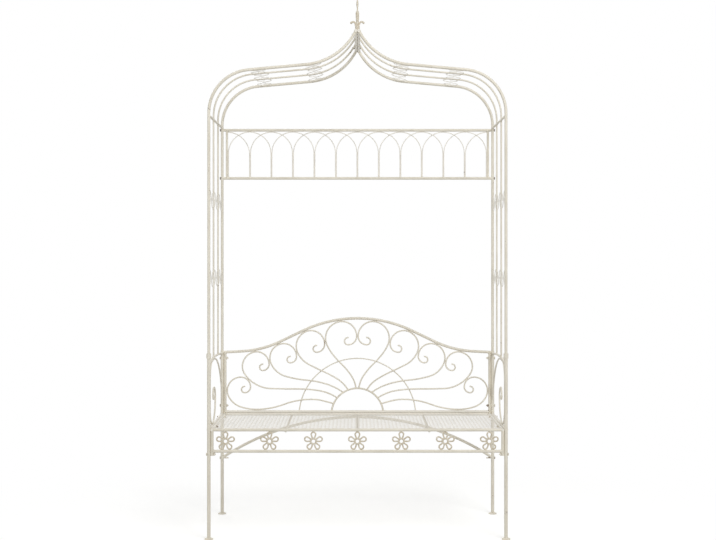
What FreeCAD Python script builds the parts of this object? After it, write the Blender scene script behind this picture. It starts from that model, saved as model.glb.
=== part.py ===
"""Iron garden bench under its own pergola arch, in millimetres.

The origin is on the floor in the middle of the bench. +Z is up, +X is the right end seen from the
front, and the front of the seat faces -Y. Most pieces are drawn for the right half and mirrored.
"""
import FreeCAD, Part
import math
import os
from FreeCAD import Placement, Rotation, Vector

SIZES = [
    # Legs, feet and the fit of the uprights in them
    ("leg_spacing", 1198, "leg axes, left to right"),
    ("leg_depth", 480, "leg axes, front to rear"),
    ("leg_wall", 0.9, "wall of the leg tube round its socket"),
    ("front_leg_height", 749, "floor to the mouth of a front leg"),
    ("rear_leg_height", 722, "floor to the mouth of a rear leg"),
    ("socket_depth", 60, "length of an upright inside its leg"),
    ("socket_clearance", 0.15, "radial play of an upright in its leg"),
    ("collar_diameter", 19.5, "collar round the mouth of a front leg"),
    ("collar_height", 20, "collar round the mouth of a front leg"),
    ("foot_diameter", 36, "foot pad"),
    ("foot_crown_diameter", 24, "flat top of the foot pad"),
    ("foot_rim", 3, "height of the straight rim of the foot pad"),
    ("foot_thickness", 6, "whole height of the foot pad"),
    ("touch_gap", 0.1, "play between round pieces that touch"),
    # Bars of the seat and backrest frames
    ("bar_diameter", 12, "seat, backrest, apron, arch and ridge bars"),
    ("bar_wall", 1.2, "wall of the open-ended bars"),
    ("seat_height", 441, "axis of the seat rails"),
    ("cross_bar_diameter", 10, "bars under the seat mesh"),
    ("cross_bar_spacing", 290, "pitch of the three cross bars"),
    # Seat mesh
    ("mesh_thickness", 1.6, "expanded metal sheet"),
    ("mesh_margin", 5, "solid border of the sheet"),
    ("mesh_strand", 6, "width of a strand"),
    ("mesh_columns", 14, "diamonds in a long row"),
    ("mesh_rows", 22, "rows of diamonds, each half a diamond on"),
    ("notch_clearance", 1, "sheet round the bolt ends and nuts of the seat"),
    # Arms
    ("arm_diameter", 9.5, "arm rail"),
    ("arm_height", 708, "axis of the arm rail at the legs"),
    ("arm_crown", 13, "rise of the arm rail at its middle"),
    ("arm_scroll_diameter", 7, "rod of the arm scroll"),
    ("arm_scroll_foot", 24, "start of the arm scroll above the seat rail axis"),
    ("arm_scroll_lean", 96, "heading of the arm scroll where it leaves the rear leg, degrees"),
    ("arm_scroll_touch", 172, "front leg axis to where the arm scroll touches the arm"),
    ("arm_scroll_front", 38, "front leg axis to the upright run of the arm scroll"),
    ("arm_scroll_shoulder", 74, "bend radius at the upper front of the arm scroll"),
    ("arm_scroll_heel", 72, "bend radius at the lower front of the arm scroll"),
    ("arm_scroll_flat", 14, "run of the arm scroll along the side rail"),
    ("arm_scroll_rise", 96, "radius of the rising part of the arm scroll"),
    ("arm_scroll_loop", 46, "radius of the loop of the arm scroll"),
    ("arm_scroll_curl", 32, "radius of the curl of the arm scroll"),
    ("arm_scroll_eye", 15, "radius of the last turn of the arm scroll"),
    ("arm_scroll_eye_turn", 170, "last turn of the arm scroll, degrees"),
    # Apron
    ("apron_drop", 86, "seat rail axis to apron rail axis"),
    ("apron_bolt_edge", 6, "apron bolt to the lower end of the end bar"),
    ("flower_end_margin", 48, "end bar to the centre of the first flower"),
    ("petal_wire", 6, "wire of the flowers"),
    ("petal_tip_radius", 9, "round end of a petal, to the middle of its wire"),
    ("petal_foot", 6.6, "distance between the two feet of a petal"),
    ("flower_ring_diameter", 20, "ring of a flower, to the middle of its wire"),
    # Support arch under the seat
    ("arch_foot", 248, "floor to the axis of the support arch at the leg axes"),
    # Backrest
    ("back_height", 866, "axis of the top rail at its crown"),
    ("back_shoulder_height", 716, "axis of the top rail over the stiles"),
    ("back_crown_radius", 560, "bend of the crown"),
    ("back_sweep_radius", 450, "bend of the sweep down to the shoulders"),
    ("back_shoulder_run", 74, "nearly level run of the top rail beside the stile"),
    ("back_shoulder_slope", 3, "slope of that run, degrees"),
    ("sun_inner_radius", 115, "inner sun arc"),
    ("sun_inner_diameter", 8, "bar of the inner sun arc"),
    ("sun_outer_radius", 259, "outer sun arc"),
    ("sun_outer_diameter", 5, "rod of the outer sun arc"),
    ("sun_outer_drop", 12, "centre of the outer sun arc below the seat rail axis"),
    ("back_rod_diameter", 6.5, "rod of the backrest scrolls"),
    ("back_eye_turn", 190, "last turn of a backrest scroll, degrees"),
    ("low_loop_rise", 83, "lowest scroll: loop centre above the part that rests on the bottom rail"),
    ("low_rest_inset", 68, "lowest scroll: loop centre to where it rests on the bottom rail"),
    ("low_loop_contact", 135, "lowest scroll: direction in which the next scroll passes its loop, degrees"),
    # Trellis sides
    ("upright_diameter", 12.2, "upright and roof tubes"),
    ("upright_wall", 1.2, "wall of the upright and roof tubes"),
    ("rod_diameter", 7.5, "thin rods of the trellis and the roof"),
    ("eave_height", 1717, "top of the uprights"),
    ("eave_bar_drop", 8, "top of the uprights to the axis of the eave bar"),
    ("eave_bar_diameter", 9.5, "eave bar"),
    ("s_wire", 3, "wire of the S-scrolls"),
    ("s_height", 70, "height of an S-scroll"),
    ("s_slope", 40, "slope of an S-scroll at its middle, degrees"),
    ("s_curl_radius", 26, "upper bend of an S-scroll"),
    ("s_eye_radius", 18, "last bend of an S-scroll"),
    ("s_eye_turn", 130, "last turn of an S-scroll, degrees"),
    ("s_lower_height", 1050, "floor to the lower row of S-scrolls"),
    ("s_upper_height", 1375, "floor to the upper row of S-scrolls"),
    # Roof
    ("roof_rise", 333, "top of the uprights to the ridge axis"),
    ("roof_straight", 2, "upright run at the foot of the roof tubes"),
    ("roof_shoulder_radius", 175, "bend over the eaves"),
    ("roof_crown_radius", 250, "reverse bend up to the ridge"),
    ("roof_peak_slope", 63, "slope of the roof where it meets the ridge, degrees"),
    ("roof_rod_lift", 6, "thin roof rods above the line of the roof tubes"),
    ("roof_s_first", 295, "eave to the first row of roof S-scrolls, along the roof"),
    ("roof_s_second", 520, "eave to the second row, along the roof"),
    ("spigot_length", 40, "plug of a roof tube inside its upright"),
    ("ridge_overhang", 8, "ridge bars past the outer roof tubes' axes"),
    ("ridge_bolt_spacing", 320, "bolts through the two ridge bars"),
    # Lattice panel
    ("lattice_top", 1699, "axis of the upper rail"),
    ("lattice_bottom", 1486, "axis of the lower rail"),
    ("lattice_inset", 21, "upright axis to end bar axis"),
    ("lattice_end_diameter", 10, "end bars"),
    ("lattice_wire", 4, "wire of the arches"),
    ("lattice_bays", 12, "bays between the end bars"),
    # Finial
    ("finial_base", 26, "side of the square base plate"),
    ("finial_plate", 4, "thickness of the base plate"),
    ("finial_stem_diameter", 9, "stem"),
    ("finial_stem_height", 35, "base plate to the collar"),
    ("finial_collar_diameter", 20, "collar"),
    ("finial_collar_height", 20, "collar"),
    ("finial_foot_diameter", 9, "spear in the collar"),
    ("finial_leaf_diameter", 15, "lower swelling of the spear"),
    ("finial_leaf_height", 62, "middle of the collar to the lower swelling"),
    ("finial_neck_diameter", 5, "neck of the spear"),
    ("finial_neck_height", 82, "middle of the collar to the neck"),
    ("finial_blade_diameter", 9, "upper swelling of the spear"),
    ("finial_blade_height", 101, "middle of the collar to the upper swelling"),
    ("finial_tip_diameter", 2, "tip of the spear"),
    ("finial_tip_height", 128, "middle of the collar to the tip"),
    ("finial_tip_lean", 12, "lean of the spear's sides at its tip, degrees"),
    ("finial_petal_diameter", 8, "rod of the side petals"),
    ("finial_petal_ball", 10, "ball at the end of a side petal"),
    ("finial_petal_lean", 12, "lean of a side petal at its foot, degrees"),
    ("finial_petal_rise", 20, "straight foot of a side petal"),
    ("finial_petal_radius", 10, "bend of a side petal"),
    ("finial_petal_turn", 130, "bend of a side petal, degrees"),
    # Bolts
    ("bolt_diameter", 6, "bolt shank"),
    ("bolt_length", 35, "bolt shank"),
    ("bolt_clearance", 0.2, "radial play of a bolt in its hole"),
    ("bolt_head_width", 10, "hexagon across flats"),
    ("bolt_head_height", 4, "bolt head"),
    ("nut_height", 5, "nut"),
    ("seat_bolt_spacing", 300, "two bolts through each side rail"),
    ("back_bolt_low", 480, "floor to the lower backrest bolts"),
    ("back_bolt_high", 690, "floor to the upper backrest bolts"),
]

# Backrest scrolls, numbered from the lowest: where the stem leaves the inner sun arc, its heading there,
# the place and heading halfway along the stem, where the stem joins the loop, and the radii of the loop
SCROLL_WORDS = ("sun_angle", "heading", "bend_x", "bend_z", "bend_heading", "entry",
                "outer_radius", "inner_radius", "curl_radius", "eye_radius")
SCROLLS = {
    1: (24, 17, 203, 507, 0, -30, 60, 43, 26, 14),
    2: (39, 34, 265, 553, 0, -8, 65, 55, 28, 14),
    3: (57, 36, 226, 592, 5, -25, 64, 57, 28, 14),
    4: (69, 60, 150, 630, 24, -25, 70, 60, 36, 15),
    5: (87, 82, 68, 661, 44, -25, 74, 65, 38, 16),
}
for number, shape in SCROLLS.items():
    for word, value in zip(SCROLL_WORDS, shape):
        meaning = f"backrest scroll {number}: {word.replace('_', ' ')}"
        SIZES.append((f"scroll_{number}_{word}", value, meaning))

doc = FreeCAD.newDocument("garden_bench")
sheet = doc.addObject("Spreadsheet::Sheet", "sizes")
for row, (alias, value, meaning) in enumerate(SIZES, start=1):
    sheet.set(f"A{row}", meaning)
    sheet.set(f"B{row}", str(value))
    sheet.setAlias(f"B{row}", alias)
doc.recompute()

nodes = {}


def num(expression):
    """The value of an expression in the sheet's cells."""
    return float(sheet.evalExpression(expression))


# Places and radii that many pieces share, as expressions
LEG_X = "(sizes.leg_spacing / 2)"
LEG_Y = "(sizes.leg_depth / 2)"
UPRIGHT_R = "(sizes.upright_diameter / 2)"
LEG_R = f"({UPRIGHT_R} + sizes.socket_clearance + sizes.leg_wall)"
BAR_R = "(sizes.bar_diameter / 2)"
BAR_X = f"({LEG_X} - {LEG_R} - sizes.touch_gap - {BAR_R})"
SEAT_Z = "sizes.seat_height"
APRON_Z = f"({SEAT_Z} - sizes.apron_drop)"
BACK_BOTTOM_Z = f"({SEAT_Z} + sizes.bar_diameter + sizes.touch_gap)"
EAVE_BAR_Z = "(sizes.eave_height - sizes.eave_bar_drop)"
RIDGE_X = f"({BAR_R} + sizes.touch_gap / 2)"
RIDGE_Z = "(sizes.eave_height + sizes.roof_rise)"
ROD_Y = "(sizes.leg_depth / 6)"

AXES = {
    "x": Rotation(Vector(0, 1, 0), 90),
    "y": Rotation(Vector(1, 0, 0), -90),
    "z": Rotation(),
}


def keep(label, piece):
    """Give a finished piece its node name."""
    piece.Label = label
    nodes[label] = piece
    return piece


def bind(piece, at):
    """Tie a piece's position to three expressions."""
    for axis, expression in zip("xyz", at):
        piece.setExpression(f"Placement.Base.{axis}", expression)


def bar(name, radius, length, at, axis):
    """A straight round bar from the point `at` along an axis."""
    piece = doc.addObject("Part::Cylinder", name)
    piece.Placement = Placement(Vector(), AXES[axis])
    piece.setExpression("Radius", radius)
    piece.setExpression("Height", length)
    bind(piece, at)
    return piece


def cut(name, piece, *tools):
    """Take the tools away from a piece, one after another."""
    for index, tool in enumerate(tools):
        result = doc.addObject("Part::Cut", f"{name}_cut{index}")
        result.Base = piece
        result.Tool = tool
        piece = result
    return piece


def fuse(name, pieces):
    """One solid from pieces that are made as one."""
    result = doc.addObject("Part::MultiFuse", name)
    result.Shapes = pieces
    return result


def group(name, pieces):
    """Separate solids kept together in one node."""
    result = doc.addObject("Part::Compound", name)
    result.Links = pieces
    return result


def mirror(name, piece, normal=Vector(1, 0, 0)):
    """The same piece on the other side of the middle."""
    result = doc.addObject("Part::Mirroring", name)
    result.Source = piece
    result.Normal = normal
    return result


def both_sides(label, piece):
    """Keep a right-hand piece and its left-hand mirror image; `label` holds {side}."""
    keep(label.format(side="right"), piece)
    keep(label.format(side="left"), mirror(label.format(side="left") + "_mirror", piece))


def direction(degrees):
    """Unit vector in a drawing plane."""
    return Vector(math.cos(math.radians(degrees)), math.sin(math.radians(degrees)), 0)


class Path:
    """A planar path of straight runs and tangent arcs, drawn like a pen with a heading in degrees."""

    def __init__(self, x, y, heading):
        self.point = Vector(x, y, 0)
        self.heading = heading
        self.pieces = []

    def line(self, length):
        end = self.point + direction(self.heading) * length
        self.pieces.append((self.point, end))
        self.point = end
        return self

    def arc(self, radius, turn):
        """Turn left by `turn` degrees, or right if it is negative, in steps under a half circle."""
        steps = math.ceil(abs(turn) / 120)
        for _ in range(steps):
            half = turn / steps / 2
            reach = 2 * radius * abs(math.sin(math.radians(half / 2)))
            middle = self.point + direction(self.heading + half / 2) * reach
            end = middle + direction(self.heading + half * 3 / 2) * reach
            self.pieces.append((self.point, middle, end))
            self.point = end
            self.heading += 2 * half
        return self

    def arc_to(self, x, y):
        """A tangent arc, or a straight run, to a point."""
        chord = Vector(x, y, 0) - self.point
        ahead = direction(self.heading)
        half = math.degrees(math.atan2(ahead.x * chord.y - ahead.y * chord.x, ahead.dot(chord)))
        if abs(half) < 0.01:
            return self.line(chord.Length)
        radius = chord.Length / (2 * abs(math.sin(math.radians(half))))
        return self.arc(radius, 2 * half)

    def to(self, x, y, heading):
        """Two tangent arcs to a point with a given heading there."""
        chord = Vector(x, y, 0) - self.point
        first = direction(self.heading)
        last = direction(heading)
        both = chord.dot(first + last)
        spread = 2 * (1 - first.dot(last))
        if spread < 1e-9:
            reach = chord.dot(chord) / (4 * chord.dot(last))
        else:
            reach = (math.sqrt(both ** 2 + spread * chord.dot(chord)) - both) / spread
        middle = (self.point + first * reach + Vector(x, y, 0) - last * reach) * 0.5
        self.arc_to(middle.x, middle.y)
        self.arc_to(x, y)
        self.heading = heading
        return self

    def wire(self, origin, across, up):
        """The path as edges in the plane through `origin` with the axes `across` and `up`."""
        edges = []
        for piece in self.pieces:
            points = [origin + across * p.x + up * p.y for p in piece]
            curve = Part.LineSegment(*points) if len(points) == 2 else Part.Arc(*points)
            edges.append(curve.toShape())
        return Part.Wire(edges)


def at_length(wire, length):
    """Point and unit tangent of a wire at a distance along it."""
    for edge in wire.Edges:
        if length <= edge.Length or edge.isSame(wire.Edges[-1]):
            parameter = edge.getParameterByLength(min(length, edge.Length))
            return edge.valueAt(parameter), edge.tangentAt(parameter)
        length -= edge.Length


def solve(function, low, high):
    """Where a function that rises between low and high is zero."""
    for _ in range(60):
        middle = (low + high) / 2
        if function(middle) > 0:
            high = middle
        else:
            low = middle
    return (low + high) / 2


def front_plane(y):
    """A plane facing the front: x to the right, z up."""
    return Vector(0, y, 0), Vector(1, 0, 0), Vector(0, 0, 1)


def side_plane(x):
    """A plane facing the side: y to the rear, z up."""
    return Vector(x, 0, 0), Vector(0, 1, 0), Vector(0, 0, 1)


def rod(name, path, plane, radius):
    """A round rod of the given radius bent along a path."""
    spine = doc.addObject("Part::Feature", f"{name}_axis")
    spine.Shape = path.wire(*plane)
    first = spine.Shape.Edges[0]
    section = doc.addObject("Part::Circle", f"{name}_section")
    section.setExpression("Radius", radius)
    tangent = first.tangentAt(first.FirstParameter)
    section.Placement = Placement(first.valueAt(first.FirstParameter), Rotation(Vector(0, 0, 1), tangent))
    result = doc.addObject("Part::Sweep", name)
    result.Sections = [section]
    result.Spine = (spine, [])
    result.Solid = True
    return result


def bolt_set(name, at, with_nut):
    """A hexagon bolt along X with its head outside `at`, its nut, and the hole for it."""
    x, y, z = at
    head_radius = "sizes.bolt_head_width / sqrt(3)"
    shank = bar(f"{name}_shank", "sizes.bolt_diameter / 2", "sizes.bolt_length",
                (f"{x} - sizes.bolt_length", y, z), "x")
    head = doc.addObject("Part::Prism", f"{name}_head")
    head.Placement = Placement(Vector(), AXES["x"])
    head.setExpression("Circumradius", head_radius)
    head.setExpression("Height", "sizes.bolt_head_height")
    bind(head, at)
    bolt = fuse(f"{name}_bolt", [shank, head])
    hole = bar(f"{name}_hole", "sizes.bolt_diameter / 2 + sizes.bolt_clearance",
               "sizes.bolt_length + 3 * sizes.bolt_clearance",
               (f"{x} - sizes.bolt_length - sizes.bolt_clearance", y, z), "x")
    if not with_nut:
        return bolt, None, hole
    block = doc.addObject("Part::Prism", f"{name}_nut_block")
    block.Placement = Placement(Vector(), AXES["x"])
    block.setExpression("Circumradius", head_radius)
    block.setExpression("Height", "sizes.nut_height")
    bind(block, (f"{with_nut} - sizes.nut_height", y, z))
    return bolt, cut(f"{name}_nut", block, hole), hole


# Bolts: all of one size, along X, with the head outside the leg, side rail, upright or ridge bar
OUTSIDE = f"({LEG_X} + {LEG_R})"
INSIDE = f"({BAR_X} - {BAR_R})"
UPRIGHT_OUTSIDE = f"({LEG_X} + {UPRIGHT_R})"
RIDGE_OUTSIDE = f"({RIDGE_X} + {BAR_R})"
APRON_BOLT_Z = f"({APRON_Z} - {BAR_R} - sizes.bolt_head_width / sqrt(3) - sizes.bolt_clearance)"
SEAT_BOLT_Y = "(sizes.seat_bolt_spacing / 2)"
BOLTS = {
    "apron": (OUTSIDE, f"-{LEG_Y}", APRON_BOLT_Z, INSIDE),
    "arch": (OUTSIDE, LEG_Y, "sizes.arch_foot", None),
    "back_low": (OUTSIDE, LEG_Y, "sizes.back_bolt_low", INSIDE),
    "back_high": (OUTSIDE, LEG_Y, "sizes.back_bolt_high", INSIDE),
    "seat_front": (OUTSIDE, f"-{SEAT_BOLT_Y}", SEAT_Z, INSIDE),
    "seat_rear": (OUTSIDE, SEAT_BOLT_Y, SEAT_Z, INSIDE),
    "lattice_top": (UPRIGHT_OUTSIDE, LEG_Y, "sizes.lattice_top", None),
    "lattice_bottom": (UPRIGHT_OUTSIDE, LEG_Y, "sizes.lattice_bottom", None),
    "ridge_front": (RIDGE_OUTSIDE, "-(sizes.ridge_bolt_spacing / 2)", RIDGE_Z, f"-{RIDGE_OUTSIDE}"),
    "ridge_rear": (RIDGE_OUTSIDE, "(sizes.ridge_bolt_spacing / 2)", RIDGE_Z, f"-{RIDGE_OUTSIDE}"),
}
holes = {}


def make_bolts():
    """Every bolt and nut; the two in the ridge aren't mirrored."""
    bolts = []
    nuts = []
    for name, (x, y, z, nut_seat) in BOLTS.items():
        bolt, nut, holes[name] = bolt_set(name, (x, y, z), nut_seat)
        copies = [bolt] if name.startswith("ridge") else [bolt, mirror(f"{name}_bolt_left", bolt)]
        bolts += copies
        if nut:
            nuts += [nut] if name.startswith("ridge") else [nut, mirror(f"{name}_nut_left", nut)]
    keep("frame_bolts", group("bolts", bolts))
    keep("frame_nuts", group("nuts", nuts))


legs = {}
uprights = {}


def make_legs():
    """Leg tubes on foot pads; the mouth of each leg is the socket for its upright."""
    pads = []
    for end, sign, drilled in (("front", "-", ["apron"]), ("rear", "", ["arch", "back_low", "back_high"])):
        y = sign + LEG_Y
        length = f"sizes.{end}_leg_height - sizes.foot_thickness"
        foot = (LEG_X, y, "sizes.foot_thickness")
        legs[end] = bar(f"{end}_leg_outside", LEG_R, length, foot, "z")
        bore = bar(f"{end}_leg_bore", f"{LEG_R} - sizes.leg_wall", length, foot, "z")
        outside = legs[end]
        if end == "front":
            mouth = (LEG_X, y, "sizes.front_leg_height - sizes.collar_height")
            collar = bar("collar", "sizes.collar_diameter / 2", "sizes.collar_height", mouth, "z")
            outside = fuse("collared_leg", [legs[end], collar])
        leg = cut(f"{end}_leg", outside, bore, *[holes[name] for name in drilled])
        both_sides(f"{end}_{{side}}_leg", leg)
        rim = bar(f"{end}_foot_rim", "sizes.foot_diameter / 2", "sizes.foot_rim", (LEG_X, y, "0"), "z")
        crown = doc.addObject("Part::Cone", f"{end}_foot_crown")
        crown.setExpression("Radius1", "sizes.foot_diameter / 2")
        crown.setExpression("Radius2", "sizes.foot_crown_diameter / 2")
        crown.setExpression("Height", "sizes.foot_thickness - sizes.foot_rim")
        bind(crown, (LEG_X, y, "sizes.foot_rim"))
        pad = fuse(f"{end}_foot", [rim, crown])
        pads += [pad, mirror(f"{end}_foot_left", pad)]
    keep("foot_pads", group("feet", pads))


def make_uprights():
    """Upright tubes from inside the legs up to the eaves."""
    rear_bolts = ["back_high", "lattice_top", "lattice_bottom"]
    for end, sign, drilled in (("front", "-", []), ("rear", "", rear_bolts)):
        bottom = f"sizes.{end}_leg_height - sizes.socket_depth"
        foot = (LEG_X, sign + LEG_Y, bottom)
        length = f"sizes.eave_height - ({bottom})"
        uprights[end] = bar(f"{end}_upright_outside", UPRIGHT_R, length, foot, "z")
        bore = bar(f"{end}_upright_bore", f"{UPRIGHT_R} - sizes.upright_wall", length, foot, "z")
        tube = cut(f"{end}_upright", uprights[end], bore, *[holes[name] for name in drilled])
        both_sides(f"{end}_{{side}}_upright", tube)


def make_side_rails():
    """Rails between the front and rear legs at seat height, of the same tube as the legs."""
    rail = bar("side_rail", LEG_R, "sizes.leg_depth", (LEG_X, f"-{LEG_Y}", SEAT_Z), "y")
    cuts = [legs["front"], legs["rear"], holes["seat_front"], holes["seat_rear"]]
    both_sides("{side}_side_rail", cut("side_rail", rail, *cuts))


def make_arms():
    """Gently bowed arm rails and the large scroll under each; returns the uncut arm rail."""
    leg_x = num(LEG_X)
    front = -num(LEG_Y)
    depth = num("sizes.leg_depth")
    crown = num("sizes.arm_crown")
    rise = 2 * math.degrees(math.atan2(crown, depth / 2))
    radius = (depth / 2) / math.sin(math.radians(rise))
    bow = Path(front, num("sizes.arm_height"), rise).arc(radius, -2 * rise)
    arm = rod("arm", bow, side_plane(leg_x), "sizes.arm_diameter / 2")
    both_sides("{side}_arm_rail", cut("arm_rail", arm, legs["front"], legs["rear"]))

    wire_r = num("sizes.arm_scroll_diameter / 2")
    gap = num("sizes.touch_gap")
    # The scroll follows the underside of the bowed arm from where it touches it to its front shoulder
    under_r = radius - num("sizes.arm_diameter / 2") - wire_r - gap
    shoulder = num("sizes.arm_scroll_shoulder")
    upright_y = front + num("sizes.arm_scroll_front")
    touch_turn = math.asin((depth / 2 - num("sizes.arm_scroll_touch")) / under_r)
    leave_turn = math.asin(-(upright_y + shoulder) / (under_r - shoulder))
    bow_z = num("sizes.arm_height") + crown - radius
    scroll = Path(-front, num(f"{SEAT_Z} + sizes.arm_scroll_foot"), num("sizes.arm_scroll_lean"))
    touch_y = -under_r * math.sin(touch_turn)
    touch_z = bow_z + under_r * math.cos(touch_turn)
    scroll.to(touch_y, touch_z, 180 + math.degrees(touch_turn))
    scroll.arc(under_r, math.degrees(leave_turn - touch_turn))
    scroll.arc(shoulder, 90 - math.degrees(leave_turn))
    heel = num("sizes.arm_scroll_heel")
    bottom = num(f"{SEAT_Z} + {LEG_R}") + wire_r + gap
    scroll.line(scroll.point.y - heel - bottom)
    scroll.arc(heel, 90)
    scroll.line(num("sizes.arm_scroll_flat"))
    scroll.arc(num("sizes.arm_scroll_rise"), 90)
    scroll.arc(num("sizes.arm_scroll_loop"), 90)
    scroll.arc(num("sizes.arm_scroll_curl"), 90)
    scroll.arc(num("sizes.arm_scroll_eye"), num("sizes.arm_scroll_eye_turn"))
    curl = rod("arm_scroll", scroll, side_plane(leg_x), "sizes.arm_scroll_diameter / 2")
    both_sides("{side}_arm_scroll", cut("arm_scroll", curl, legs["rear"]))
    return arm


def make_seat():
    """Seat rails, cross bars and mesh; returns the right, front and rear rails before they are cut."""
    side_at = (BAR_X, f"-{LEG_Y} - {BAR_R}", SEAT_Z)
    side = bar("seat_side", BAR_R, f"sizes.leg_depth + 2 * {BAR_R}", side_at, "y")
    both_sides("seat_{side}_rail", cut("seat_side_rail", side, holes["seat_front"], holes["seat_rear"]))
    other = mirror("seat_side_left", side)
    rails = {}
    for end, sign in (("front", "-"), ("rear", "")):
        rails[end] = bar(f"seat_{end}", BAR_R, f"2 * {BAR_X}", (f"-{BAR_X}", sign + LEG_Y, SEAT_Z), "x")
        keep(f"seat_{end}_rail", cut(f"seat_{end}_rail", rails[end], side, other))

    cross_r = "sizes.cross_bar_diameter / 2"
    cross_z = f"{SEAT_Z} - sizes.mesh_thickness / 2 - {cross_r}"
    rail_face = f"({LEG_Y} - {BAR_R} - sizes.touch_gap)"
    bars = []
    for index in (-1, 0, 1):
        at = (f"{index} * sizes.cross_bar_spacing", f"-{rail_face}", cross_z)
        bars.append(bar(f"cross_bar_{index + 2}", cross_r, f"2 * {rail_face}", at, "y"))
    keep("seat_cross_bars", group("cross_bars", bars))

    half_width = num(f"{INSIDE} - sizes.touch_gap")
    half_depth = num(rail_face)
    margin = num("sizes.mesh_margin")
    columns = round(num("sizes.mesh_columns"))
    rows = round(num("sizes.mesh_rows"))
    long_half = (half_width - margin) / columns
    short_half = 2 * (half_depth - margin) / (rows + 1)
    inset = 1 - num("sizes.mesh_strand") / 2 * math.hypot(long_half, short_half) / (long_half * short_half)
    bottom = Vector(0, 0, num(f"{SEAT_Z} - sizes.mesh_thickness / 2"))

    def outline(x, y, corners):
        points = [bottom + Vector(x + dx, y + dy, 0) for dx, dy in corners]
        return Part.makePolygon(points + points[:1])

    sheet_corners = [(-half_width, -half_depth), (half_width, -half_depth),
                     (half_width, half_depth), (-half_width, half_depth)]
    half_long = long_half * inset
    half_short = short_half * inset
    diamond = [(-half_long, 0), (0, -half_short), (half_long, 0), (0, half_short)]
    wires = [outline(0, 0, sheet_corners)]
    for row in range(rows):
        y = -half_depth + margin + (row + 1) * short_half
        for column in range(columns - row % 2):
            x = -half_width + margin + (2 * column + 1 + row % 2) * long_half
            wires.append(outline(x, y, diamond))
    face = doc.addObject("Part::Feature", "mesh_face")
    face.Shape = Part.makeFace(wires, "Part::FaceMakerBullseye")
    mesh = doc.addObject("Part::Extrusion", "mesh_sheet")
    mesh.Base = face
    mesh.Dir = Vector(0, 0, 1)
    mesh.Solid = True
    mesh.setExpression("LengthFwd", "sizes.mesh_thickness")
    notch_width = "(2 * sizes.bolt_head_width / sqrt(3) + 2 * sizes.notch_clearance)"
    notch_x = f"({OUTSIDE} - sizes.bolt_length - sizes.notch_clearance)"
    notches = []
    for end, sign in (("front", "-"), ("rear", "")):
        notch = doc.addObject("Part::Box", f"{end}_notch")
        notch.setExpression("Length", f"{BAR_X} - {notch_x}")
        notch.setExpression("Width", notch_width)
        notch.setExpression("Height", "sizes.bolt_head_width")
        notch_y = f"{sign}{SEAT_BOLT_Y} - {notch_width} / 2"
        bind(notch, (notch_x, notch_y, f"{SEAT_Z} - sizes.bolt_head_width / 2"))
        notches += [notch, mirror(f"{end}_notch_left", notch)]
    keep("seat_mesh", cut("seat_mesh", mesh, group("notches", notches)))
    return side, rails["front"], rails["rear"]


def make_apron(seat_side, seat_front):
    """End bars, lower rail and seven wire flowers under the front rail of the seat."""
    front = f"-{LEG_Y}"
    tail = f"{APRON_BOLT_Z} - sizes.apron_bolt_edge"
    length = f"{SEAT_Z} - ({tail})"
    post = bar("end_bar", BAR_R, length, (BAR_X, front, tail), "z")
    bore = bar("end_bar_bore", f"{BAR_R} - sizes.bar_wall", length, (BAR_X, front, tail), "z")
    both_sides("apron_{side}_end_bar", cut("end_bar", post, bore, seat_side, seat_front, holes["apron"]))
    rail = bar("lower_rail", BAR_R, f"2 * {BAR_X}", (f"-{BAR_X}", front, APRON_Z), "x")
    keep("apron_lower_rail", cut("lower_rail", rail, post, mirror("end_bar_left", post)))

    wire_r = num("sizes.petal_wire / 2")
    tip_r = num("sizes.petal_tip_radius")
    ring_r = num("sizes.flower_ring_diameter / 2")
    gap = num("sizes.touch_gap")
    petals = 5
    step = 360 / petals
    clear = num(f"sizes.apron_drop - 2 * {BAR_R}") - 2 * gap
    # One petal points up, so the two lowest reach less far down than it reaches up
    reach = (clear - 2 * (tip_r + wire_r)) / (1 + math.cos(math.radians(step / 2)))
    centre_z = num(f"{SEAT_Z} - {BAR_R}") - gap - tip_r - wire_r - reach
    half_foot = num("sizes.petal_foot / 2")
    # Each side of a petal runs straight from its foot on the ring and touches the round tip
    foot_z = math.sqrt(ring_r ** 2 - half_foot ** 2)
    to_tip = math.hypot(half_foot, reach - foot_z)
    lean = math.degrees(math.asin(tip_r / to_tip) - math.atan2(half_foot, reach - foot_z))
    side_length = math.sqrt(to_tip ** 2 - tip_r ** 2)
    first = num(f"{BAR_X} - {BAR_R} - sizes.flower_end_margin")
    flowers = 7
    rings = []
    leaves = []
    for flower in range(flowers):
        x = -first + flower * 2 * first / (flowers - 1)
        ring = doc.addObject("Part::Torus", f"flower_{flower}_ring")
        ring.setExpression("Radius1", "sizes.flower_ring_diameter / 2")
        ring.setExpression("Radius2", "sizes.petal_wire / 2")
        centre = Vector(x, -num(LEG_Y), centre_z)
        ring.Placement = Placement(centre, AXES["y"])
        rings.append(ring)
        for petal in range(petals):
            turn = math.radians(petal * step)
            across = Vector(math.cos(turn), 0, -math.sin(turn))
            up = Vector(math.sin(turn), 0, math.cos(turn))
            path = Path(half_foot, foot_z, 90 - lean).line(side_length)
            path.arc(tip_r, 180 + 2 * lean).line(side_length)
            name = f"flower_{flower}_petal_{petal}"
            leaf = rod(name, path, (centre, across, up), "sizes.petal_wire / 2")
            leaves.append(cut(name, leaf, ring))
    keep("apron_flower_rings", group("flower_rings", rings))
    keep("apron_flower_petals", group("flower_petals", leaves))


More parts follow.
